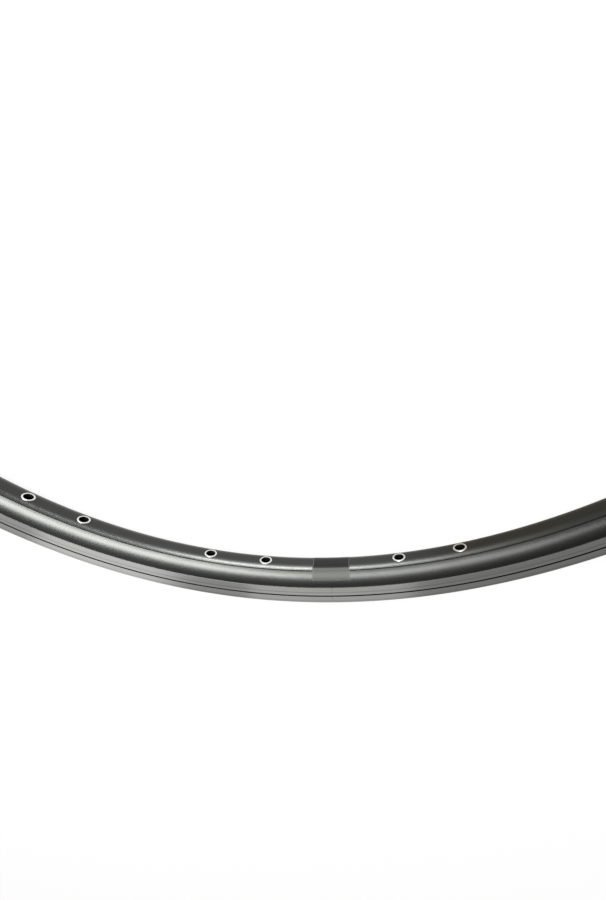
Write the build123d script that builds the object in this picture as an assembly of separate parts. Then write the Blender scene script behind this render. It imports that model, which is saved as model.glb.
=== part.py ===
from build123d import *
from math import asin, cos, degrees, hypot, radians, sin, sqrt

# Hollow alloy road rim with spoke holes in pairs, in millimetres.
# The axle is the Z axis and the origin is the wheel centre, midway between the two brake tracks.
# The hoop's butt joint is on the -Y side, and the valve hole is opposite, on the +Y side.

# Tyre side
bead_seat_diameter = 622.0
inside_width = 15.0  # between the two hooks that hold the tyre's beads
flange_height = 6.0  # from the bead seat to the rim's outer edge
hook_height = 1.9  # from the outer edge down to the hook's underside
hook_undercut = 1.3  # radial height of the slope under the hook
hook_lead_in = 0.5  # chamfer on the hook's outer corner
well_depth = 2.0  # from the bead seats down to the drop centre
well_width = 9.2  # flat floor of the drop centre
well_slope = 1.5  # axial width of each slope between floor and bead seat

# Brake tracks
outside_width = 20.0
track_height = 10.4  # machined band, measured from the outer edge
track_wall = 1.8
track_step = 0.25  # how far the machined band stands proud of the side wall
track_chamfer = 0.5
groove_from_edge = 4.9  # centre line of the wear groove
groove_width = 0.9
groove_floor = 0.5  # width of the groove's floor
groove_depth = 0.6

# Side walls and spoke bed
rim_height = 20.45  # from the outer edge to the spoke bed
bed_wall = 1.9
side_wall = 1.4
bridge_wall = 1.3  # floor between the tyre and the hollow
bed_flat = 2.8  # flat middle of the crowned spoke bed
shoulder_radius = 7.3  # rounding of the bed towards its two edges
shoulder_turn = 36.0  # degrees that the rounding turns
crease_width = 0.6  # fine groove between the bed's edge and the side wall
crease_depth = 0.3

# Drillings
spoke_pairs = 18
pair_spacing = 31.1  # between the two holes of a pair, along the bed
access_hole_diameter = 8.4  # in the drop centre, for fitting the nipples
valve_hole_diameter = 6.5

# Eyelets
eyelet_bore = 4.6
eyelet_wall = 0.4
eyelet_flange = 6.9
eyelet_height = 0.45  # how far the flange stands above its seat
eyelet_tail = 0.5  # how far the barrel reaches past the bed's wall
eyelet_clearance = 0.05  # all round the barrel
seat_depth = 0.3  # spot face in the crowned bed that the flange sits on
seat_clearance = 0.1  # all round the flange

# Butt joint
joint_gap = 0.1
sleeve_length = 56.0
sleeve_wall = 1.6
sleeve_clearance = 0.1  # between the sleeve and the hollow's walls

# Radii and half widths that follow from the sizes above
bead_seat_radius = bead_seat_diameter / 2
outer_radius = bead_seat_radius + flange_height
well_radius = bead_seat_radius - well_depth
bed_radius = outer_radius - rim_height
seat_radius = bed_radius + seat_depth
track_foot_radius = outer_radius - track_height
groove_radius = outer_radius - groove_from_edge
half_width = outside_width / 2
half_inside = inside_width / 2
flange_inner = half_width - track_wall
half_well = well_width / 2
half_bore = eyelet_bore / 2
barrel_radius = half_bore + eyelet_wall
flange_radius = eyelet_flange / 2

# Section points as (radius, distance from the mid-plane): the bed's rounded edge ends at bed_edge,
# and across the crease the side wall starts at wall_start
slope_out, slope_across = sin(radians(shoulder_turn)), cos(radians(shoulder_turn))
bed_edge = (
    bed_radius + shoulder_radius * (1 - slope_across),
    bed_flat / 2 + shoulder_radius * slope_out,
)
wall_start = (bed_edge[0] + crease_width * slope_out, bed_edge[1] + crease_width * slope_across)
crease_floor = (
    (bed_edge[0] + wall_start[0]) / 2 + crease_depth * slope_across,
    (bed_edge[1] + wall_start[1]) / 2 - crease_depth * slope_out,
)

# Each side wall is one arc that leaves the track along the radius and ends at wall_start
bulge_top = half_width - track_step
bulge_rise = bulge_top - wall_start[1]
bulge_radius = hypot(track_foot_radius - wall_start[0], bulge_rise) ** 2 / (2 * bulge_rise)
bulge_centre = bulge_top - bulge_radius

# Directions round the wheel, in degrees
joint_angle = -90.0
valve_angle = joint_angle + 180
pair_pitch = 360 / spoke_pairs
pair_half_angle = degrees(asin(pair_spacing / 2 / bed_radius))
spoke_angles = [
    joint_angle + pair_pitch * (pair + 0.5) + side * pair_half_angle
    for pair in range(spoke_pairs)
    for side in (-1, 1)
]


def both_sides(half_outline):
    """Face inside a half outline, from centre line to centre line, and its mirror image."""
    outline = half_outline + mirror(half_outline, Plane.XZ)
    return make_face(outline.edges())


def outer_section():
    """Outline of the extrusion in x = radius, y = distance from the mid-plane."""
    bed = Line((bed_radius, 0), (bed_radius, bed_flat / 2))
    shoulder = TangentArc(bed @ 1, bed_edge, tangent=(0, 1))
    crease = Polyline(bed_edge, crease_floor, wall_start)
    bulge = TangentArc((track_foot_radius, bulge_top), wall_start, tangent=(-1, 0))
    track_and_flange = Polyline(
        bulge @ 0,
        (track_foot_radius, half_width),
        (groove_radius - groove_width / 2, half_width),
        (groove_radius - groove_floor / 2, half_width - groove_depth),
        (groove_radius + groove_floor / 2, half_width - groove_depth),
        (groove_radius + groove_width / 2, half_width),
        (outer_radius - track_chamfer, half_width),
        (outer_radius, half_width - track_chamfer),
        (outer_radius, half_inside + hook_lead_in),
        (outer_radius - hook_lead_in, half_inside),
        (outer_radius - hook_height, half_inside),
        (outer_radius - hook_height - hook_undercut, flange_inner),
        (bead_seat_radius, flange_inner),
        (bead_seat_radius, half_well + well_slope),
        (well_radius, half_well),
        (well_radius, 0),
    )
    return both_sides(bed + shoulder + crease + bulge + track_and_flange)


def hollow_section():
    """Outline of the closed hollow between spoke bed, side walls and tyre floor."""
    floor_radius = bed_radius + bed_wall
    roof_radius = well_radius - bridge_wall
    seat_roof_radius = bead_seat_radius - bridge_wall
    arc_radius = bulge_radius - side_wall
    floor_half = bulge_centre + sqrt(arc_radius**2 - (track_foot_radius - floor_radius) ** 2)
    floor = Line((floor_radius, 0), (floor_radius, floor_half))
    side = TangentArc((track_foot_radius, bulge_centre + arc_radius), floor @ 1, tangent=(-1, 0))
    roof = Polyline(
        side @ 0,
        (seat_roof_radius, bulge_centre + arc_radius),
        (seat_roof_radius, half_well + well_slope),
        (roof_radius, half_well),
        (roof_radius, 0),
    )
    return both_sides(floor + side + roof)


def swept_about_axle(section, from_angle, to_angle):
    """Solid of a section that is turned about the axle, between two directions in degrees."""
    upright = Plane.XZ * section
    return Rot(0, 0, from_angle) * revolve(upright, axis=Axis.Z, revolution_arc=to_angle - from_angle)


def radial_cylinder(diameter, from_radius, to_radius, angle):
    """Cylinder that points out from the axle, for drilling."""
    length = to_radius - from_radius
    along_x = Pos(from_radius + length / 2, 0, 0) * Rot(0, 90, 0) * Cylinder(diameter / 2, length)
    return Rot(0, 0, angle) * along_x


# Hoop: a hollow extrusion rolled into a ring, drilled, with a hairline gap at its butt joint
def make_hoop():
    half_gap = degrees(joint_gap / 2 / bed_radius)
    section = outer_section() - hollow_section()
    ring = swept_about_axle(section, joint_angle + half_gap, joint_angle + 360 - half_gap)
    in_hollow = (bed_radius + bed_wall + well_radius - bridge_wall) / 2
    inside = bed_radius - bed_wall
    outside = well_radius + well_depth
    spoke_hole = 2 * (barrel_radius + eyelet_clearance)
    spot_face = 2 * (flange_radius + seat_clearance)
    drills = [radial_cylinder(valve_hole_diameter, inside, outside, valve_angle)]
    for angle in spoke_angles:
        drills.append(radial_cylinder(spot_face, inside, seat_radius, angle))
        drills.append(radial_cylinder(spoke_hole, inside, in_hollow, angle))
        drills.append(radial_cylinder(access_hole_diameter, in_hollow, outside, angle))
    return ring - drills


# Eyelets: turned ferrules, pressed into the spoke holes from the wheel's inside
def make_eyelets():
    barrel_depth = bed_wall - seat_depth + eyelet_tail
    profile = Polyline(
        (half_bore, 0, eyelet_height),
        (flange_radius, 0, 0),
        (barrel_radius, 0, 0),
        (barrel_radius, 0, -barrel_depth),
        (half_bore, 0, -barrel_depth),
        close=True,
    )
    eyelet = revolve(make_face(profile), axis=Axis.Z)
    seat = Pos(seat_radius, 0, 0) * Rot(0, -90, 0)
    return [Rot(0, 0, angle) * seat * eyelet for angle in spoke_angles]


# Sleeve: a hollow plug inside the hoop that holds its two ends together
def make_sleeve():
    outline = offset(hollow_section(), -sleeve_clearance, kind=Kind.INTERSECTION)
    section = outline - offset(outline, -sleeve_wall, kind=Kind.INTERSECTION)
    half_angle = degrees(sleeve_length / 2 / bed_radius)
    return swept_about_axle(section, joint_angle - half_angle, joint_angle + half_angle)


export_step(make_hoop(), "parts/rim_hoop.step")
export_step(Compound(make_eyelets()), "parts/eyelets.step")
export_step(make_sleeve(), "parts/joint_sleeve.step")
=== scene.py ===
# %% [markdown]
# # A hollow road rim, dressed round its CAD frame
#
# A road rim is one aluminium extrusion with two walls and a closed hollow between them. It is rolled into a
# hoop, its ends meet at a butt joint over a sleeve, and then it is drilled, anodised, and turned bright on
# both sides where the brake blocks run. Ferrules line the spoke holes. The CAD model already holds each
# piece at its real size, so this lesson loads it as a fixed frame and gives every piece a smooth surface
# and a finish, without moving anything.

# %% Load the frame
from math import asin, cos, degrees, hypot, pi, radians, sin, sqrt

import bmesh
import bpy
from mathutils import Matrix, Vector


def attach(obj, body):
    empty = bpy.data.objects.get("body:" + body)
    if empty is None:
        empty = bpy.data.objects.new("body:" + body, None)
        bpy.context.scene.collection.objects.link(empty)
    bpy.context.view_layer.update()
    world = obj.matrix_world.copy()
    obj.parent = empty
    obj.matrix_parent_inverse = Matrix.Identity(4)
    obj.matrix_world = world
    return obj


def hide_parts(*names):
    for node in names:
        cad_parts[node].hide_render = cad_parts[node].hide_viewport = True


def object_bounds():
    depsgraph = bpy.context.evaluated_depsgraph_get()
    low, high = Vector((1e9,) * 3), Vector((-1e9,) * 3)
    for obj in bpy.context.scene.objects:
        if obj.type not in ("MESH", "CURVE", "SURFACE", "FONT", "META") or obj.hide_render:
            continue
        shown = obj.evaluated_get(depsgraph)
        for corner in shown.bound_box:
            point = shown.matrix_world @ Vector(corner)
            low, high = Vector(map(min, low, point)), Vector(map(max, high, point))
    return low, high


MM = 0.001


def in_mm(point):
    """A point's coordinates in millimetres, rounded for printing."""
    return [round(value / MM, 2) for value in point]


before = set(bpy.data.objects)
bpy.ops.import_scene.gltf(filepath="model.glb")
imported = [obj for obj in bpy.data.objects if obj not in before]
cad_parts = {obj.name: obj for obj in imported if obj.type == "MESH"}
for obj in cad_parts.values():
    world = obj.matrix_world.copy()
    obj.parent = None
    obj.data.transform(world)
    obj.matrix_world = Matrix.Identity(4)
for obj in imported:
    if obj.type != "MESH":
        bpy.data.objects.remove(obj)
cad_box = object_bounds()
print("nodes:", sorted(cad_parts))
print("CAD box in mm:", [in_mm(corner) for corner in cad_box])

# %% [markdown]
# ## The camera
#
# The camera hangs over the inside of the ring and looks down and out at the arc with the butt joint. A wide
# lens so close to the rim is what bends the near arc so strongly. Place, direction and lens come from
# fitting the rim's edges and eyelets to the picture. The lens axis meets the picture a little below its
# middle, which a small vertical shift gives.

# %% Place the camera
PICTURE_HEIGHT = 900
FOCAL_PIXELS = 412.94
AXIS_BELOW_MIDDLE = 50
SENSOR = 36

scene = bpy.context.scene


def add_object(name, data):
    """New object, linked into the scene."""
    made = bpy.data.objects.new(name, data)
    scene.collection.objects.link(made)
    return made


camera_place = Vector((16.79, -160.52, 182.28)) * MM
camera_forward = Vector((-0.13601, -0.46615, -0.87419)).normalized()
fitted_up = Vector((0.04078, 0.87901, -0.47506))
camera_right = camera_forward.cross(fitted_up).normalized()
camera_up = camera_right.cross(camera_forward)

camera_data = bpy.data.cameras.new("camera")
camera_data.sensor_width = SENSOR
camera_data.lens = SENSOR * FOCAL_PIXELS / PICTURE_HEIGHT
camera_data.shift_y = AXIS_BELOW_MIDDLE / PICTURE_HEIGHT
camera_data.clip_start = 0.01
camera = add_object("camera", camera_data)
turn = Matrix((camera_right, camera_up, -camera_forward)).transposed()
camera.matrix_world = Matrix.Translation(camera_place) @ turn.to_4x4()
scene.camera = camera
print("lens", round(camera_data.lens, 2), "mm, place in mm", in_mm(camera_place))

# %% [markdown]
# ## Shader maths in plain Python
#
# A material is a net of nodes, and long nets are hard to read as code. A small class that wraps one socket
# lets a finish be written as arithmetic: each operator adds its Math node. Every other node comes from one
# method, which sets the node's own settings first and then its inputs, as numbers or as links.

# %% One class for sockets
class Socket:
    """One output of a node, on which shader maths can be written."""

    def __init__(self, tree, output=None):
        self.tree = tree
        self.output = output

    def node(self, kind, settings=None, inputs=None, output=0):
        """Adds a node and returns one of its outputs."""
        made = self.tree.nodes.new("ShaderNode" + kind)
        for name, value in (settings or {}).items():
            setattr(made, name, value)
        for name, value in (inputs or {}).items():
            if isinstance(value, Socket):
                self.tree.links.new(value.output, made.inputs[name])
            else:
                made.inputs[name].default_value = value
        return Socket(self.tree, made.outputs[output] if len(made.outputs) else None)

    def math(self, operation, first, second=0.0):
        """Adds a Math node."""
        return self.node("Math", {"operation": operation}, {0: first, 1: second})

    def __add__(self, other):
        return self.math("ADD", self, other)

    def __sub__(self, other):
        return self.math("SUBTRACT", self, other)

    def __rsub__(self, other):
        return self.math("SUBTRACT", other, self)

    def __mul__(self, other):
        return self.math("MULTIPLY", self, other)

    def __truediv__(self, other):
        return self.math("DIVIDE", self, other)

    def __gt__(self, other):
        return self.math("GREATER_THAN", self, other)

    def __lt__(self, other):
        return self.math("LESS_THAN", self, other)

    __radd__ = __add__
    __rmul__ = __mul__


def new_tree(owner):
    """Empty node tree of a material or world, wrapped for adding nodes."""
    owner.use_nodes = True
    owner.node_tree.nodes.clear()
    return Socket(owner.node_tree)


print("operators ready:", ["+", "-", "*", "/", ">", "<"])

# %% [markdown]
# A few nets come back in several finishes, so each gets a short helper. All finishes start from Object
# coordinates, so what they paint stays on the piece in every view.

# %% Helpers for places and colours
def object_place(tree):
    """Place on the piece, in metres."""
    return tree.node("TexCoord", output="Object")


def coordinate(tree, vector, axis):
    """One coordinate of a vector."""
    return tree.node("SeparateXYZ", inputs={0: vector}, output=axis)


def soft_step(tree, value, start, end):
    """Rises smoothly from 0 to 1 while a value goes from start to end."""
    settings = {"interpolation_type": "SMOOTHSTEP"}
    return tree.node("MapRange", settings, {"Value": value, "From Min": start, "From Max": end})


def mix_colour(tree, share, first, second):
    """Colour between two others, through the sockets of a Mix node that carry colours."""
    return tree.node("Mix", {"data_type": "RGBA"}, {0: share, 6: first, 7: second}, output=2)


helpers = (object_place, coordinate, soft_step, mix_colour)
print("helpers ready:", [helper.__name__ for helper in helpers])

# %% [markdown]
# ## Floor
#
# The rim lies flat, as a bare rim comes to rest, on a wide pale floor. The floor should look white and still
# carry the rim's soft shadow. So its shader is part plain diffuse white, which takes the shadow, and part an
# even white that is seen only by the camera and by rays off shiny metal or through glass. The spoke bed
# mirrors the floor at its foot. Its right part is darker and warmer, so reflections see a dull, warm floor
# there. The floor is wide enough for rays to find by chance, so it is left out of the sampling of lamps.

# %% Make the floor
FLOOR_HALF_SIZE = 6

floor_mesh = bmesh.new()
bmesh.ops.create_grid(floor_mesh, x_segments=1, y_segments=1, size=FLOOR_HALF_SIZE)
bmesh.ops.translate(floor_mesh, verts=floor_mesh.verts, vec=(0, 0, cad_box[0].z))
floor_data = bpy.data.meshes.new("floor")
floor_mesh.to_mesh(floor_data)
floor_mesh.free()
floor = add_object("floor", floor_data)
print("floor at", round(cad_box[0].z / MM, 2), "mm")

# %% Floor finish
FLOOR_EVEN_SHARE = 0.9
FLOOR_COLOUR = (0.93, 0.93, 0.93, 1)
EVEN_COLOUR = (1, 1, 1, 1)
DULL_COLOUR = (0.47, 0.43, 0.34, 1)
DULL_FROM, DULL_TO = 0.01, 0.08

floor_finish = bpy.data.materials.new("pale_floor")
tree = new_tree(floor_finish)
seen_by_camera = tree.node("LightPath", output="Is Camera Ray")
seen_in_gloss = tree.node("LightPath", output="Is Glossy Ray")
seen_through = tree.node("LightPath", output="Is Transmission Ray")
even_share = (seen_by_camera + seen_in_gloss + seen_through) * FLOOR_EVEN_SHARE
dull = soft_step(tree, coordinate(tree, object_place(tree), "X"), DULL_FROM, DULL_TO)
even_colour = mix_colour(tree, dull * seen_in_gloss, EVEN_COLOUR, DULL_COLOUR)
matt_white = tree.node("BsdfDiffuse", inputs={"Color": FLOOR_COLOUR})
even_light = tree.node("Emission", inputs={"Color": even_colour, "Strength": 1.0})
floor_shader = tree.node("MixShader", inputs={0: even_share, 1: matt_white, 2: even_light})
tree.node("OutputMaterial", inputs={"Surface": floor_shader})
floor_finish.cycles.emission_sampling = "NONE"
floor_data.materials.append(floor_finish)
print("floor shader nodes:", len(floor_finish.node_tree.nodes))

# %% [markdown]
# ## Light
#
# Dark anodising shows what it reflects, so the light is planned by reflection. Three softboxes hang in a row
# over the inside of the ring, each weaker than the one to its left, and give the broad highlight that fades
# along the side wall. A low panel beyond the ring draws the thin bright line on the rounded edge of the
# spoke bed, and a wider, weaker glow behind it lets that line fade at both ends. Two dim pale cards behind
# the rim show in stretches of the brake track. The lamps themselves stay out of view.

# %% Softboxes, panels and cards
def area_light(name, place, target, size, radiance):
    """Rectangular lamp of a given brightness, turned towards a point, with places and sizes in metres."""
    lamp = bpy.data.lights.new(name, "AREA")
    lamp.shape = "RECTANGLE"
    lamp.size, lamp.size_y = size
    # An even lamp sends out pi times its radiance from each square metre
    lamp.energy = radiance * pi * lamp.size * lamp.size_y
    lamp_object = add_object(name, lamp)
    lamp_object.visible_camera = False
    towards = Vector(target) - Vector(place)
    facing = towards.to_track_quat("-Z", "Y").to_matrix().to_4x4()
    lamp_object.matrix_world = Matrix.Translation(place) @ facing
    print(name, "energy", round(lamp.energy, 2), "W")


area_light("softbox", (-0.32, 0.5, 0.964), (-0.32, -0.225, 0), (0.34, 0.83), radiance=22)
area_light("fill_softbox", (-0.06, 0.27, 1.0), (-0.06, -0.3, 0), (0.18, 0.5), radiance=11.5)
area_light("edge_softbox", (0.1, 0.2, 1.0), (0.1, -0.3, 0), (0.14, 0.36), radiance=7)
area_light("low_panel", (-0.155, 2.96, 0.16), (0, -0.3, 0.16), (0.31, 0.31), radiance=95)
area_light("low_glow", (0.065, 3.0, 0.16), (0, -0.3, 0.16), (0.87, 0.31), radiance=17)
area_light("side_card", (-0.662, -0.771, 0.68), (-0.12, -0.28, 0), (0.34, 0.4), radiance=0.45)
area_light("back_card", (-0.07, -0.89, 0.68), (0, -0.3, 0), (0.43, 0.4), radiance=0.25)

# %% [markdown]
# The room itself is dim, a little lighter beyond the ring and to the left, which leaves the dark band beside
# the brake track. Where the camera looks past the floor it sees plain white. Like the floor, the room is
# left out of the sampling of lamps.

# %% Room
ROOM_COLOUR = (1, 1, 1, 1)
ROOM_LEVEL = 0.33
ROOM_RISE_BEYOND = 0.13
ROOM_FALL_RIGHT = 0.16
ROOM_DARKEST = 0.05

world = bpy.data.worlds.new("room")
scene.world = world
tree = new_tree(world)
direction = tree.node("TexCoord", output="Generated")
rightwards = coordinate(tree, direction, "X")
beyond = coordinate(tree, direction, "Y")
slanted = ROOM_LEVEL + beyond * ROOM_RISE_BEYOND - rightwards * ROOM_FALL_RIGHT
level = tree.math("MAXIMUM", slanted, ROOM_DARKEST)
seen_by_camera = tree.node("LightPath", output="Is Camera Ray")
strength = level + seen_by_camera * (1 - level)
room = tree.node("Background", inputs={"Color": ROOM_COLOUR, "Strength": strength})
tree.node("OutputWorld", inputs={"Surface": room})
world.cycles.sampling_method = "NONE"
scene.view_settings.view_transform = "Standard"
print("room nodes:", len(world.node_tree.nodes))

# %% [markdown]
# ## The hoop's section
#
# Every rolled rim has the same section all round, so the section is drawn once, as a wire, and then spun
# about the axle. Only half of it is drawn, from the middle of the spoke bed, over the side wall and the
# brake track, to the middle of the drop centre. The other half is its mirror image. Straight runs join
# corners, and a spun corner makes each arc.

# %% Sizes of the section in millimetres
outer_radius = 317.0
bead_seat_radius = 311.0
well_radius = 309.0
bed_radius = 296.55
half_width = 10.0
half_inside = 7.5
track_foot_radius = 306.6
track_step = 0.25
track_chamfer = 0.5
track_wall = 1.8
groove_radius = 312.1
groove_half_width = 0.45
groove_half_floor = 0.25
groove_depth = 0.6
hook_height = 1.9
hook_undercut = 1.3
hook_lead_in = 0.5
well_half_width = 4.6
well_slope = 1.5
bed_half_flat = 1.4
shoulder_radius = 7.3
shoulder_turn = 36.0
crease_width = 0.6
crease_depth = 0.3
bed_wall = 1.9
side_wall = 1.4
bridge_wall = 1.3
print("section", round(outer_radius - bed_radius, 2), "mm high and", 2 * half_width, "mm wide")

# %% Points that follow from them
slope_out = sin(radians(shoulder_turn))
slope_across = cos(radians(shoulder_turn))
bed_edge = (
    bed_radius + shoulder_radius * (1 - slope_across),
    bed_half_flat + shoulder_radius * slope_out,
)
wall_start = (bed_edge[0] + crease_width * slope_out, bed_edge[1] + crease_width * slope_across)
crease_floor = (
    (bed_edge[0] + wall_start[0]) / 2 + crease_depth * slope_across,
    (bed_edge[1] + wall_start[1]) / 2 - crease_depth * slope_out,
)
shoulder_centre = (bed_radius + shoulder_radius, bed_half_flat)
bulge_top = half_width - track_step
bulge_rise = bulge_top - wall_start[1]
bulge_radius = hypot(track_foot_radius - wall_start[0], bulge_rise) ** 2 / (2 * bulge_rise)
bulge_centre = (track_foot_radius, bulge_top - bulge_radius)
bulge_turn = degrees(asin((track_foot_radius - wall_start[0]) / bulge_radius))
print("bed ends at", [round(value, 2) for value in bed_edge], "side wall radius", round(bulge_radius, 2))

# %% Draw half of the outside
SHOULDER_STEPS = 9
BULGE_STEPS = 14


def run(mesh, start, *corners):
    """Straight runs from one corner of a section to the next, as (radius, distance from the mid-plane)."""
    for radius, across in corners:
        end = mesh.verts.new((radius * MM, 0, across * MM))
        if start is not None:
            mesh.edges.new((start, end))
        start = end
    return start


def arc(mesh, start, centre, angle, steps):
    """Carries a corner round a centre and returns the arc's far end."""
    middle = (centre[0] * MM, 0, centre[1] * MM)
    made = bmesh.ops.spin(mesh, geom=[start], cent=middle, axis=(0, 1, 0), angle=radians(angle), steps=steps)
    return made["geom_last"][0]


hoop_mesh = bmesh.new()
at = run(hoop_mesh, None, (bed_radius, 0), (bed_radius, bed_half_flat))
at = arc(hoop_mesh, at, shoulder_centre, shoulder_turn, SHOULDER_STEPS)
at = run(hoop_mesh, at, crease_floor, wall_start)
at = arc(hoop_mesh, at, bulge_centre, bulge_turn, BULGE_STEPS)
run(
    hoop_mesh,
    at,
    (track_foot_radius, half_width),
    (groove_radius - groove_half_width, half_width),
    (groove_radius - groove_half_floor, half_width - groove_depth),
    (groove_radius + groove_half_floor, half_width - groove_depth),
    (groove_radius + groove_half_width, half_width),
    (outer_radius - track_chamfer, half_width),
    (outer_radius, half_width - track_chamfer),
    (outer_radius, half_inside + hook_lead_in),
    (outer_radius - hook_lead_in, half_inside),
    (outer_radius - hook_height, half_inside),
    (outer_radius - hook_height - hook_undercut, half_width - track_wall),
    (bead_seat_radius, half_width - track_wall),
    (bead_seat_radius, well_half_width + well_slope),
    (well_radius, well_half_width),
    (well_radius, 0),
)
print("corners in half of the outside:", len(hoop_mesh.verts))

# %% [markdown]
# The flange's corners were touched by a turning tool and handled since, so they are eased a little. A bevel
# on the wire's corners does it. The wear groove keeps its sharp edges, because it was cut last.

# %% Ease the flange's corners
EASE = 0.09
FLANGE_PAST_GROOVE = 1.0

flange_from = (groove_radius + FLANGE_PAST_GROOVE) * MM
flange_corners = [vert for vert in hoop_mesh.verts if vert.co.x > flange_from]
bmesh.ops.bevel(
    hoop_mesh, geom=flange_corners, offset=EASE * MM, offset_type="OFFSET", segments=1, profile=0.5,
    affect="VERTICES", material=-1,
)
print("corners after easing:", len(hoop_mesh.verts))

# %% Draw half of the hollow, then mirror both
HOLLOW_STEPS = 5
MIRROR_MERGE = 0.0001

hollow_floor_radius = bed_radius + bed_wall
hollow_roof_radius = well_radius - bridge_wall
seat_roof_radius = bead_seat_radius - bridge_wall
hollow_arc_radius = bulge_radius - side_wall
hollow_half_width = bulge_centre[1] + hollow_arc_radius
hollow_rise = track_foot_radius - hollow_floor_radius
hollow_floor_half = bulge_centre[1] + sqrt(hollow_arc_radius**2 - hollow_rise**2)
hollow_turn = degrees(asin(hollow_rise / hollow_arc_radius))

at = run(hoop_mesh, None, (hollow_floor_radius, 0), (hollow_floor_radius, hollow_floor_half))
at = arc(hoop_mesh, at, bulge_centre, hollow_turn, HOLLOW_STEPS)
run(
    hoop_mesh,
    at,
    (seat_roof_radius, hollow_half_width),
    (seat_roof_radius, well_half_width + well_slope),
    (hollow_roof_radius, well_half_width),
    (hollow_roof_radius, 0),
)
half_section = hoop_mesh.verts[:] + hoop_mesh.edges[:]
bmesh.ops.mirror(
    hoop_mesh, geom=half_section, matrix=Matrix.Identity(4), merge_dist=MIRROR_MERGE * MM, axis="Z"
)
print("corners in the whole section:", len(hoop_mesh.verts))

# %% [markdown]
# ## Rolling the hoop
#
# The wire is spun almost all the way round, from one side of the butt joint to the other. A spin in very
# many small steps is slow, so one eighteenth of the hoop is spun finely, and that sector is then copied
# round in seventeen turns and merged. The two end faces are filled, hollow included, so that the hoop is one
# closed skin. The gap between the two ends is a tenth of a millimetre, so the joint shows as a faint line.

# %% Spin one sector, then copy it round
JOINT_ANGLE = radians(-90)
JOINT_GAP = 0.1
SECTORS = 18
STEPS_IN_SECTOR = 30
MERGE_DISTANCE = 0.001


def turn_about_z(mesh, angle, verts):
    """Turns some corners of a mesh about the Z axis."""
    bmesh.ops.rotate(mesh, cent=(0, 0, 0), matrix=Matrix.Rotation(angle, 3, "Z"), verts=verts)


def spin_about_z(mesh, angle, steps, **options):
    """Sweeps all of a mesh about the Z axis, or copies it round with use_duplicate."""
    whole = mesh.verts[:] + mesh.edges[:] + mesh.faces[:]
    bmesh.ops.spin(mesh, geom=whole, cent=(0, 0, 0), axis=(0, 0, 1), angle=angle, steps=steps, **options)


half_gap = JOINT_GAP / 2 / bed_radius
sector = (2 * pi - 2 * half_gap) / SECTORS
turn_about_z(hoop_mesh, JOINT_ANGLE + half_gap, hoop_mesh.verts)
spin_about_z(hoop_mesh, sector, STEPS_IN_SECTOR)
spin_about_z(hoop_mesh, sector * (SECTORS - 1), SECTORS - 1, use_duplicate=True)
bmesh.ops.remove_doubles(hoop_mesh, verts=hoop_mesh.verts, dist=MERGE_DISTANCE * MM)
print("faces of the rolled skin:", len(hoop_mesh.faces))

# %% Close both ends
end_edges = [edge for edge in hoop_mesh.edges if edge.is_boundary]
right_end = [edge for edge in end_edges if edge.verts[0].co.x > 0]
left_end = [edge for edge in end_edges if edge.verts[0].co.x < 0]
for end in (right_end, left_end):
    bmesh.ops.triangle_fill(hoop_mesh, edges=end, use_beauty=True, use_dissolve=False)
bmesh.ops.recalc_face_normals(hoop_mesh, faces=hoop_mesh.faces)
open_edges = [edge for edge in hoop_mesh.edges if not edge.is_manifold]
print("hoop faces:", len(hoop_mesh.faces), "open edges:", len(open_edges))
print("volume in cubic mm:", round(hoop_mesh.calc_volume() / MM**3))

# %% Helpers that turn a bmesh into a piece
CRISP_ANGLE = 18


def smooth_with_crisp_edges(data, sharp_angle):
    """Smooth shading that stops at edges sharper than an angle in degrees."""
    data.shade_smooth()
    data.set_sharp_from_angle(angle=radians(sharp_angle))


def make_piece(name, mesh, sharp_angle=CRISP_ANGLE):
    """Object at the origin with smooth faces and crisp edges, linked into the scene."""
    data = bpy.data.meshes.new(name)
    mesh.to_mesh(data)
    mesh.free()
    smooth_with_crisp_edges(data, sharp_angle)
    return add_object(name, data)


hoop = make_piece("hoop", hoop_mesh)
print(hoop.name, "has", len(hoop.data.polygons), "faces")

# %% [markdown]
# ## Drilling
#
# Spoke holes come in eighteen pairs. The spoke bed is crowned, so each hole first gets a shallow flat face
# for its eyelet. Then comes a small hole through the bed and a larger one outside it, in the drop centre,
# through which the nipple goes in. The valve hole lies opposite the joint and goes through both walls.
# Cylinders stand for the cutters, and two Boolean modifiers take them out of the hoop in that order.

# %% Where the holes are
SPOKE_PAIRS = 18
PAIR_SPACING = 31.1

pair_half_angle = asin(PAIR_SPACING / 2 / bed_radius)
spoke_angles = [
    JOINT_ANGLE + 2 * pi / SPOKE_PAIRS * (pair + 0.5) + side * pair_half_angle
    for pair in range(SPOKE_PAIRS)
    for side in (-1, 1)
]
print(len(spoke_angles), "spoke holes, first at", round(degrees(spoke_angles[0]), 2), "degrees")

# %% Set up the cutters
SEAT_DEPTH = 0.3
SPOT_FACE = 7.1
SPOKE_DRILL = 5.5
ACCESS_DRILL = 8.4
VALVE_DRILL = 6.5
DRILLS_APART = 1.0
PAST_BEAD_SEAT = 1.0
CUTTER_SIDES = 48

seat_radius = bed_radius + SEAT_DEPTH
inside_bed = bed_radius - bed_wall
mid_hollow = (hollow_floor_radius + hollow_roof_radius) / 2
spoke_drill_end = mid_hollow - DRILLS_APART / 2
access_drill_start = mid_hollow + DRILLS_APART / 2
outside_well = bead_seat_radius + PAST_BEAD_SEAT


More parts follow.
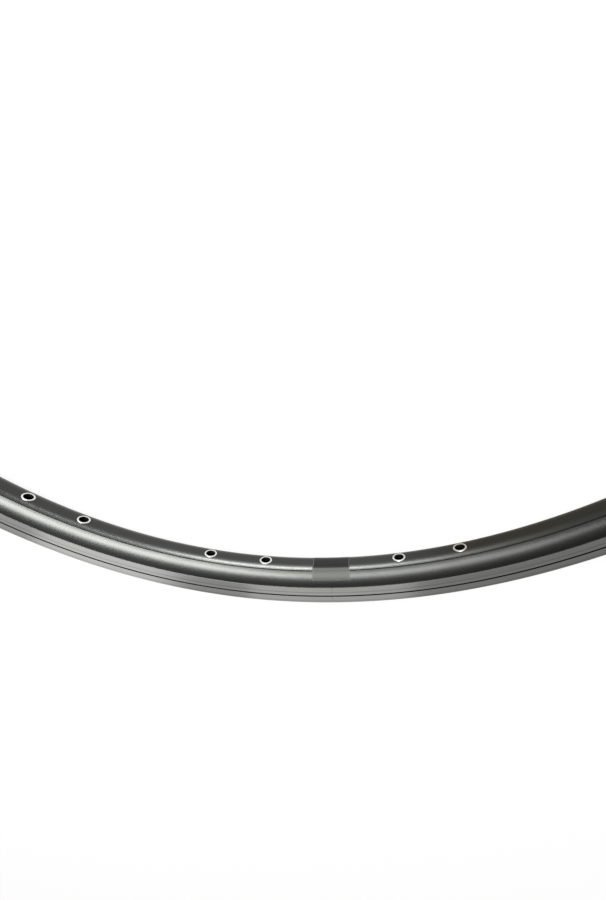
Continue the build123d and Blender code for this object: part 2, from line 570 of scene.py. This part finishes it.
def cutter(mesh, diameter, from_radius, to_radius, angle):
    """Adds a cylinder that points out from the axle."""
    middle = Matrix.Translation(((from_radius + to_radius) / 2 * MM, 0, 0))
    lie_down = Matrix.Rotation(pi / 2, 4, "Y")
    bmesh.ops.create_cone(
        mesh, cap_ends=True, segments=CUTTER_SIDES, radius1=diameter / 2 * MM, radius2=diameter / 2 * MM,
        depth=(to_radius - from_radius) * MM, matrix=Matrix.Rotation(angle, 4, "Z") @ middle @ lie_down,
    )


spot_facers = bmesh.new()
drills = bmesh.new()
for angle in spoke_angles:
    cutter(spot_facers, SPOT_FACE, inside_bed, seat_radius, angle)
    cutter(drills, SPOKE_DRILL, inside_bed, spoke_drill_end, angle)
    cutter(drills, ACCESS_DRILL, access_drill_start, outside_well, angle)
cutter(drills, VALVE_DRILL, inside_bed, outside_well, JOINT_ANGLE + pi)
cutter_pieces = [make_piece("spot_facers", spot_facers), make_piece("drills", drills)]
print("cutter faces:", [len(piece.data.polygons) for piece in cutter_pieces])

# %% Cut the holes
for piece in cutter_pieces:
    cut = hoop.modifiers.new(piece.name, "BOOLEAN")
    cut.operation = "DIFFERENCE"
    cut.solver = "MANIFOLD"
    cut.object = piece
drilled = bpy.data.meshes.new_from_object(hoop.evaluated_get(bpy.context.evaluated_depsgraph_get()))
hoop.modifiers.clear()
hoop.data = drilled
drilled.name = "hoop"
drilled.materials.clear()
for piece in cutter_pieces:
    bpy.data.objects.remove(piece)
smooth_with_crisp_edges(drilled, CRISP_ANGLE)
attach(hoop, "root")
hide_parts("rim_hoop")
print("faces after drilling:", len(drilled.polygons))

# %% [markdown]
# ## Eyelets
#
# An eyelet is a short steel tube whose lip is rolled over into a round bead. The bead sits on its flat seat
# in the spoke bed and the tube lines the hole. One profile wire with two quarter arcs for the bead is spun
# about its own axis, and then the ring is laid into each spoke hole. The faces of the bore are marked for a
# finish of their own, a dark painted shade that stands for the shade deep in the hole.

# %% Spin one eyelet
bore_radius = 2.3
barrel_radius = 2.7
barrel_depth = 2.1
flange_radius = 3.45
bead_height = 0.33
bead_inner_radius = 0.28
bead_outer_radius = 0.3
BEAD_STEPS = 6
EYELET_STEPS = 48

inner_centre = (bore_radius + bead_inner_radius, bead_height - bead_inner_radius)
outer_centre = (flange_radius - bead_outer_radius, bead_height - bead_outer_radius)
one_eyelet = bmesh.new()
start = run(one_eyelet, None, (bore_radius, -barrel_depth))
at = run(one_eyelet, start, (bore_radius, inner_centre[1]))
at = arc(one_eyelet, at, inner_centre, 90, BEAD_STEPS)
at = run(one_eyelet, at, (outer_centre[0], bead_height))
at = arc(one_eyelet, at, outer_centre, 90, BEAD_STEPS)
at = run(one_eyelet, at, (flange_radius, 0), (barrel_radius, 0), (barrel_radius, -barrel_depth))
one_eyelet.edges.new((at, start))
spin_about_z(one_eyelet, 2 * pi, EYELET_STEPS, use_merge=True)
bmesh.ops.remove_doubles(one_eyelet, verts=one_eyelet.verts, dist=MERGE_DISTANCE * MM)
bmesh.ops.recalc_face_normals(one_eyelet, faces=one_eyelet.faces)
print("faces in one eyelet:", len(one_eyelet.faces))
print("its volume in cubic mm:", round(one_eyelet.calc_volume() / MM**3, 2))

# %% Mark the bore
BORE_BAND = 0.24

bore_faces = 0
# Faces of the bore get a dark painted shade
for face in one_eyelet.faces:
    middle = face.calc_center_median()
    in_bore = hypot(middle.x, middle.y) < (bore_radius + BORE_BAND) * MM
    face.material_index = 1 if in_bore else 0
    bore_faces += in_bore
print("bore faces:", bore_faces)

# %% Lay one in every spoke hole
BEAD_ANGLE = 40


def verts_among(items):
    """The corners among some elements of a mesh."""
    return [item for item in items if isinstance(item, bmesh.types.BMVert)]


to_seat = Matrix.Translation((seat_radius * MM, 0, 0)) @ Matrix.Rotation(-pi / 2, 4, "Y")
bmesh.ops.transform(one_eyelet, matrix=to_seat, verts=one_eyelet.verts)
pattern = one_eyelet.verts[:] + one_eyelet.edges[:] + one_eyelet.faces[:]
for angle in spoke_angles:
    copy = bmesh.ops.duplicate(one_eyelet, geom=pattern)["geom"]
    turn_about_z(one_eyelet, angle, verts_among(copy))
bmesh.ops.delete(one_eyelet, geom=verts_among(pattern), context="VERTS")
eyelets = make_piece("eyelet_rings", one_eyelet, sharp_angle=BEAD_ANGLE)
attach(eyelets, "root")
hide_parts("eyelets")
print("eyelet faces:", len(eyelets.data.polygons))

# %% [markdown]
# ## Label film
#
# A thin film is stuck over the joint. It starts under the far edge of the spoke bed, lies across the bed,
# bridges the fine creases and runs about half of the way down the near side wall. Its profile follows the
# section a hair above the metal, and a short spin about the axle gives it its width. The solidify operator
# gives it a real thickness, so its cut edges stay crisp.

# %% Spin the film's profile
FILM_WIDTH = 20.0
FILM_LIFT = 0.02
FILM_THICKNESS = 0.08
FILM_WALL_SHARE = 0.53
FILM_STEPS = 24

film_mesh = bmesh.new()
film_wall_radius = bulge_radius + FILM_LIFT
film_on_wall = (
    bulge_centre[0] - film_wall_radius * sin(radians(bulge_turn)),
    bulge_centre[1] + film_wall_radius * cos(radians(bulge_turn)),
)
film_on_edge = (bed_edge[0] - FILM_LIFT * slope_across, bed_edge[1] + FILM_LIFT * slope_out)
far_shoulder_centre = (shoulder_centre[0], -shoulder_centre[1])
at = run(film_mesh, None, (film_on_wall[0], -film_on_wall[1]), (film_on_edge[0], -film_on_edge[1]))
at = arc(film_mesh, at, far_shoulder_centre, shoulder_turn, SHOULDER_STEPS)
at = run(film_mesh, at, (bed_radius - FILM_LIFT, bed_half_flat))
at = arc(film_mesh, at, shoulder_centre, shoulder_turn, SHOULDER_STEPS)
at = run(film_mesh, at, film_on_wall)
arc(film_mesh, at, bulge_centre, bulge_turn * FILM_WALL_SHARE, BULGE_STEPS)

film_half_angle = FILM_WIDTH / 2 / bed_radius
turn_about_z(film_mesh, JOINT_ANGLE - film_half_angle, film_mesh.verts)
spin_about_z(film_mesh, 2 * film_half_angle, FILM_STEPS)
print("film faces:", len(film_mesh.faces))

# %% Give it thickness
bmesh.ops.recalc_face_normals(film_mesh, faces=film_mesh.faces)
film_mesh.normal_update()
# The faces have to look at the axle, so that the film thickens away from the metal
middle_face = min(film_mesh.faces, key=lambda face: face.calc_center_median().length)
if middle_face.normal.y < 0:
    bmesh.ops.reverse_faces(film_mesh, faces=film_mesh.faces)
bmesh.ops.solidify(film_mesh, geom=film_mesh.faces[:], thickness=-FILM_THICKNESS * MM)
bmesh.ops.recalc_face_normals(film_mesh, faces=film_mesh.faces)
print("film volume in cubic mm:", round(film_mesh.calc_volume() / MM**3, 2))
nearest = min(hypot(vert.co.x, vert.co.y) for vert in film_mesh.verts) / MM
print("film's inner face at radius", round(nearest, 3), "and bed at", bed_radius)
film = make_piece("label_film", film_mesh)
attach(film, "root")

# %% [markdown]
# ## Helpers for the finishes
#
# Rolling and turning leave marks that run round the wheel. Noise is made to follow them by giving it the
# distance from the axle, stretched, next to the direction round the wheel, hardly stretched. Two more
# helpers turn marks into a bumpy surface and finish a material from its inputs.

# %% Marks that run round the wheel
def from_axle(tree, place):
    """Distance of a place from the axle."""
    flat_place = tree.node("VectorMath", {"operation": "MULTIPLY"}, {0: place, 1: (1, 1, 0)})
    return tree.node("VectorMath", {"operation": "LENGTH"}, {0: flat_place}, output="Value")


def round_the_wheel(tree, out_scale, across_scale, along_scale):
    """Coordinates for noise that is drawn out round the axle."""
    place = object_place(tree)
    out = from_axle(tree, place)
    x, y, z = [coordinate(tree, place, axis) for axis in "XYZ"]
    stretched = out * out_scale + z * across_scale
    return tree.node("CombineXYZ", inputs={0: x / out * along_scale, 1: y / out * along_scale, 2: stretched})


def noise(tree, vector, scale=1.0, detail=2.0):
    """Noise between 0 and 1 that is centred on a half."""
    return tree.node("TexNoise", inputs={"Vector": vector, "Scale": scale, "Detail": detail})


print("helpers ready:", [helper.__name__ for helper in (from_axle, round_the_wheel, noise)])

# %% Bumps and whole finishes
def bump(tree, height, strength, depth):
    """Surface that follows a height, whose full range is a depth in millimetres."""
    return tree.node("Bump", inputs={"Strength": strength, "Distance": depth * MM, "Height": height})


def finish_with(name, make_inputs):
    """Material with one Principled shader, whose inputs a function makes."""
    finish = bpy.data.materials.new(name)
    tree = new_tree(finish)
    shader = tree.node("BsdfPrincipled", inputs=make_inputs(tree))
    tree.node("OutputMaterial", inputs={"Surface": shader})
    print(name, "has", len(finish.node_tree.nodes), "nodes")
    return finish


print("helpers ready:", [helper.__name__ for helper in (bump, finish_with)])

# %% [markdown]
# ## Anodised alloy
#
# Satin dark grey anodising reflects only a few hundredths of the light. The metal under it was drawn through
# a die, so it is smoother along the rim than across it, and highlights stretch across the section. That is
# what anisotropy gives. A fine grain breaks the gloss, and faint clouds vary the grey.

# %% Anodised finish
GRAIN_PER_METRE = 3500
CLOUDS_PER_METRE = 90
QUARTER_TURN = 0.25


def anodised_inputs(tree):
    place = object_place(tree)
    grain = noise(tree, place, GRAIN_PER_METRE)
    clouds = noise(tree, place, CLOUDS_PER_METRE, detail=3.0)
    drawn = noise(tree, round_the_wheel(tree, out_scale=1800, across_scale=1800, along_scale=14))
    return {
        "Base Color": mix_colour(tree, clouds, (0.0425, 0.0437, 0.0411, 1), (0.0500, 0.0514, 0.0483, 1)),
        "Metallic": 1.0,
        "Roughness": 0.20 + grain * 0.02 + drawn * 0.015,
        "Anisotropic": 0.95,
        "Anisotropic Rotation": QUARTER_TURN,
        "Normal": bump(tree, grain + drawn, strength=0.04, depth=0.002),
    }


anodised = finish_with("anodised_alloy", anodised_inputs)

# %% [markdown]
# ## Machined brake track
#
# The tracks were turned after anodising, which bares the bright alloy. The tool leaves fine rings round the
# axle, which show as lines of slightly different brightness and as a highlight that spreads across them.
# They are too fine to model, so noise drawn out round the axle gives them. Two soft darker lines, one on
# each side of the wear groove, darken the alloy's colour at given radii.

# %% Machined finish
DARK_LINE_RADII = (309.7, 315.5)
DARK_LINE_HALF_WIDTH = 0.6
DARK_LINE_SHARE = 0.5


def machined_inputs(tree):
    fine_marks = round_the_wheel(tree, out_scale=2600, across_scale=0, along_scale=12)
    coarse_marks = round_the_wheel(tree, out_scale=800, across_scale=0, along_scale=7)
    rings = noise(tree, fine_marks, detail=3.0) * 0.5 + noise(tree, coarse_marks) * 0.5
    alloy = mix_colour(tree, rings, (0.56, 0.567, 0.54, 1), (0.68, 0.688, 0.655, 1))
    # Two soft lines at given radii darken the colour
    out = from_axle(tree, object_place(tree))
    first, second = [
        tree.math("MAXIMUM", 1 - tree.math("ABSOLUTE", out - radius * MM) / (DARK_LINE_HALF_WIDTH * MM), 0.0)
        for radius in DARK_LINE_RADII
    ]
    return {
        "Base Color": mix_colour(tree, (first + second) * DARK_LINE_SHARE, alloy, (0.30, 0.303, 0.29, 1)),
        "Metallic": 1.0,
        "Roughness": 0.16 + rings * 0.06,
        "Anisotropic": 0.85,
        "Anisotropic Rotation": QUARTER_TURN,
        "Normal": bump(tree, rings, strength=0.5, depth=0.01),
    }


machined = finish_with("machined_track", machined_inputs)

# %% [markdown]
# ## Eyelet steel and sleeve
#
# The eyelets are plated steel, bright but not polished, with a faint unevenness from the press. Their bores
# are painted nearly black, as painted shade. The sleeve is bare alloy as it came from the die, so it shows
# die lines along its length. In all three, colour, gloss and surface follow the same marks, so one function
# makes their inputs.

# %% Eyelet steel
def uneven_metal(tree, marks, darkest, lightest, roughness, strength):
    """Inputs of bare metal that changes with its marks, with the roughness as a pair of limits."""
    smooth, rough = roughness
    return {
        "Base Color": mix_colour(tree, marks, darkest, lightest),
        "Metallic": 1.0,
        "Roughness": smooth + marks * (rough - smooth),
        "Normal": bump(tree, marks, strength, depth=0.02),
    }


def steel_inputs(tree):
    uneven = noise(tree, object_place(tree), scale=900, detail=3.0)
    return uneven_metal(
        tree, uneven, (0.70, 0.695, 0.67, 1), (0.84, 0.835, 0.81, 1), roughness=(0.34, 0.48), strength=0.3
    )


steel = finish_with("eyelet_steel", steel_inputs)


# %% Painted shade in the bore of the eyelets
def bore_shade_inputs(tree):
    # The bore is painted nearly black, as painted shade deep in the hole
    shade_noise = noise(tree, object_place(tree), scale=1500, detail=3.0)
    return uneven_metal(
        tree, shade_noise, (0.02, 0.019, 0.017, 1), (0.07, 0.067, 0.06, 1), roughness=(0.35, 0.55), strength=0.3
    )


bore_shade_finish = finish_with("eyelet_bore", bore_shade_inputs)


# %% Sleeve alloy
def sleeve_inputs(tree):
    lengthways = round_the_wheel(tree, out_scale=1500, across_scale=1500, along_scale=3)
    die_lines = noise(tree, lengthways, detail=3.0)
    return uneven_metal(
        tree, die_lines, (0.66, 0.66, 0.65, 1), (0.80, 0.80, 0.79, 1), roughness=(0.3, 0.5), strength=0.4
    )


sleeve_alloy = finish_with("sleeve_alloy", sleeve_inputs)

# %% [markdown]
# ## Film
#
# The film is a matt dark plastic with a fine tooth and a thin pale line just inside its cut edges. Where it
# bends down over the side wall it is painted a lighter grey, a painted highlight for the light that the side
# wall catches. The line and the grey are masks worked out from Object coordinates, so they stay sharp at any
# size of picture.

# %% Film
FILM_LINE_FROM, FILM_LINE_TO = 0.955, 0.975
FILM_LINE_COLOUR = (0.12, 0.12, 0.115, 1)
FILM_GREY_FROM, FILM_GREY_TO = 4.2, 5.4
FILM_TOOTH_PER_METRE = 5000


def film_inputs(tree):
    place = object_place(tree)
    tooth = noise(tree, place, FILM_TOOTH_PER_METRE)
    sideways = coordinate(tree, place, "X") / from_axle(tree, place)
    to_edge = tree.math("ABSOLUTE", sideways) / sin(film_half_angle)
    line = (to_edge > FILM_LINE_FROM) * (to_edge < FILM_LINE_TO)
    dark = mix_colour(tree, tooth, (0.008, 0.008, 0.008, 1), (0.014, 0.014, 0.014, 1))
    # Painted highlight: over the side wall the film is painted a lighter grey, for the light the wall
    # catches
    grey = mix_colour(tree, tooth, (0.064, 0.066, 0.061, 1), (0.09, 0.092, 0.086, 1))
    over_wall = soft_step(tree, coordinate(tree, place, "Z"), FILM_GREY_FROM * MM, FILM_GREY_TO * MM)
    tone_with_painted_light = mix_colour(tree, over_wall, dark, grey)
    return {
        "Base Color": mix_colour(tree, line, tone_with_painted_light, FILM_LINE_COLOUR),
        "Roughness": 0.29 + tooth * 0.09,
        "IOR": 1.25,
        "Specular Tint": (0.97, 1.0, 0.92, 1),
        "Normal": bump(tree, tooth, strength=0.3, depth=0.01),
    }


film_finish = finish_with("matt_film", film_inputs)

# %% [markdown]
# ## Putting the finishes on
#
# The hoop carries two finishes. A face belongs to the machined track if it lies outside the track's foot,
# right at the side of the rim and not in the wear groove, which kept its dark skin.

# %% Assign the finishes
TRACK_SKIN = 0.45
FOOT_MARGIN = 0.05

hoop.data.materials.append(anodised)
hoop.data.materials.append(machined)
eyelets.data.materials.append(steel)
eyelets.data.materials.append(bore_shade_finish)
film.data.materials.append(film_finish)
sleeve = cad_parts["joint_sleeve"]
sleeve.data.materials.clear()
sleeve.data.materials.append(sleeve_alloy)

track_faces = 0
for face in hoop.data.polygons:
    out = hypot(face.center.x, face.center.y) / MM
    past_foot = out > track_foot_radius - FOOT_MARGIN
    beside = abs(face.center.z) / MM > half_width - TRACK_SKIN
    in_groove = abs(out - groove_radius) < groove_half_width
    on_track = past_foot and beside and not in_groove
    face.material_index = 1 if on_track else 0
    track_faces += on_track
print("machined faces:", track_faces)
